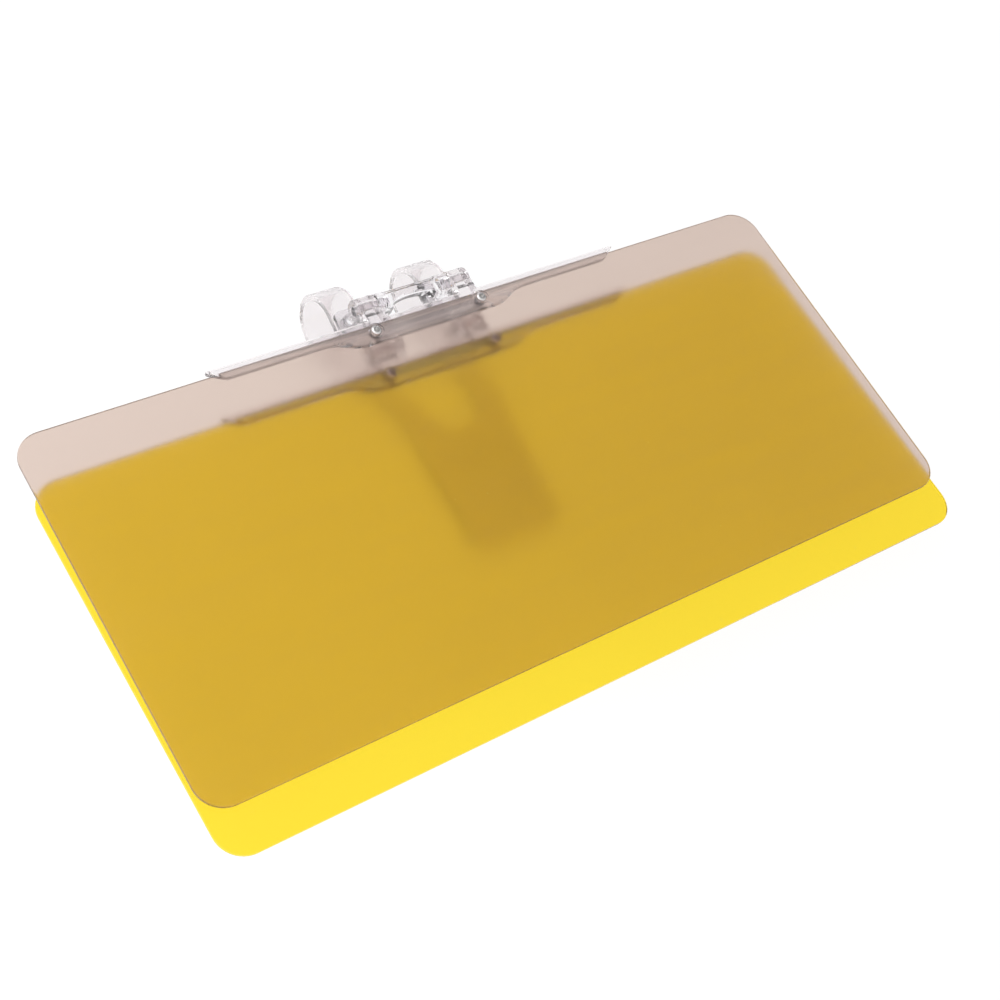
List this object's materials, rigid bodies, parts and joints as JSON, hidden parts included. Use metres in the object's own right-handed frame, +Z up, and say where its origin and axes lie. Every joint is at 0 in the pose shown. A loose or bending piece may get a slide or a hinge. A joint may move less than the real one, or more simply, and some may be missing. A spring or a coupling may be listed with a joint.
{
  "type": "car sun visor",
  "caption": "Clip-on day and night anti-glare sun visor for a car: a grey and a yellow lens hinged on a clear spring clip.",
  "frame": {"origin": "centre of the bottom of the bounding box, as the visor lies on a table on the back of its clip", "axes": "+X along the lenses' long edges, +Y towards the hinge side, +Z up, away from the clip's tongue"},
  "size_m": [0.315, 0.1839, 0.0396],
  "materials": {
    "grey_lens": "smoky grey see-through plastic",
    "yellow_lens": "bright yellow see-through plastic",
    "clear_plastic": "clear polished polycarbonate",
    "screw_steel": "bright plated steel"
  },
  "bodies": {
    "clip": {"clip_body": "clear_plastic", "hinge_yoke": "clear_plastic", "yoke_rivet_left": "clear_plastic", "yoke_rivet_right": "clear_plastic", "night_hinge_pin_left": "clear_plastic", "night_hinge_pin_right": "clear_plastic"},
    "day_pins": {"day_hinge_pin_left": "clear_plastic", "day_hinge_pin_right": "clear_plastic"},
    "night_panel": {"night_lens": "yellow_lens", "night_rail": "clear_plastic", "night_rail_screw_left": "screw_steel", "night_rail_nut_left": "screw_steel", "night_rail_screw_right": "screw_steel", "night_rail_nut_right": "screw_steel"},
    "day_panel": {"day_lens": "grey_lens", "day_rail": "clear_plastic", "day_rail_screw_left": "screw_steel", "day_rail_nut_left": "screw_steel", "day_rail_screw_right": "screw_steel", "day_rail_nut_right": "screw_steel"}
  },
  "joints": [
    {"name": "night_flip", "type": "hinge", "parent": "clip", "child": "night_panel", "pos_m": [0, 0.05201, 0.0266], "axis": [-1, 0, 0], "range_deg": [0, 100]},
    {"name": "day_pin_turn", "type": "hinge", "parent": "clip", "child": "day_pins", "pos_m": [0, 0.06587, 0.03538], "axis": [-1, 0, 0], "range_deg": [0, 100]},
    {"name": "day_flip", "type": "hinge", "parent": "day_pins", "child": "day_panel", "pos_m": [0, 0.06587, 0.03538], "axis": [-1, 0, 0], "range_deg": [0, 100]}
  ],
  "couplings": [
    {"joint": "day_pin_turn", "follows": "night_flip", "ratio": 1}
  ]
}
